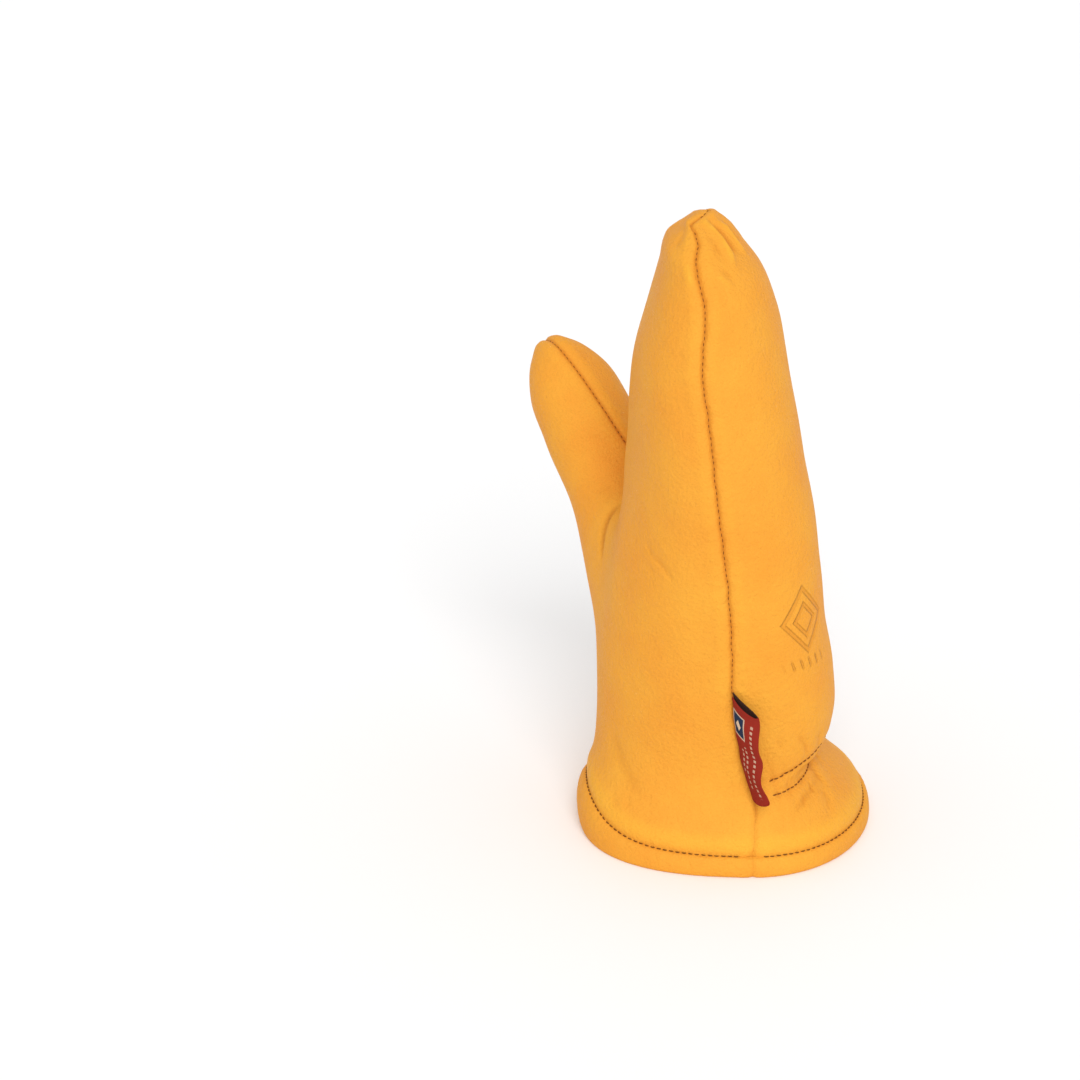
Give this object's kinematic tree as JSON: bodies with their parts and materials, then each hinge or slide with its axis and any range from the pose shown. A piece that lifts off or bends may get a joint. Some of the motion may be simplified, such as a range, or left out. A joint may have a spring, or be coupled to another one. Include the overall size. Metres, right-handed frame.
{
  "type": "leather mitten",
  "caption": "Left-hand golden leather mitten standing on its open turned cuff, with a shaped thumb, a side seam, a gathered wrist and a small woven tag.",
  "frame": {"origin": "middle of the bounding box's footprint, on the surface that the cuff stands on", "axes": "+Z from the cuff's edge up to the fingertips, +X from the palm to the back of the hand, +Y from the little finger's side to the thumb's side"},
  "size_m": [0.1366, 0.1506, 0.2465],
  "materials": {
    "leather": "smooth grain leather, golden yellow, soft sheen",
    "hem_leather": "the same golden leather, turned in and sewn",
    "woven_tag": "woven tape, red with a dark blue block and cream marks",
    "thread": "twisted dark brown sewing thread"
  },
  "bodies": {
    "root": {"palm_panel": "leather", "back_panel": "leather", "cuff_hem": "hem_leather", "seam_tag": "woven_tag"}
  },
  "joints": []
}
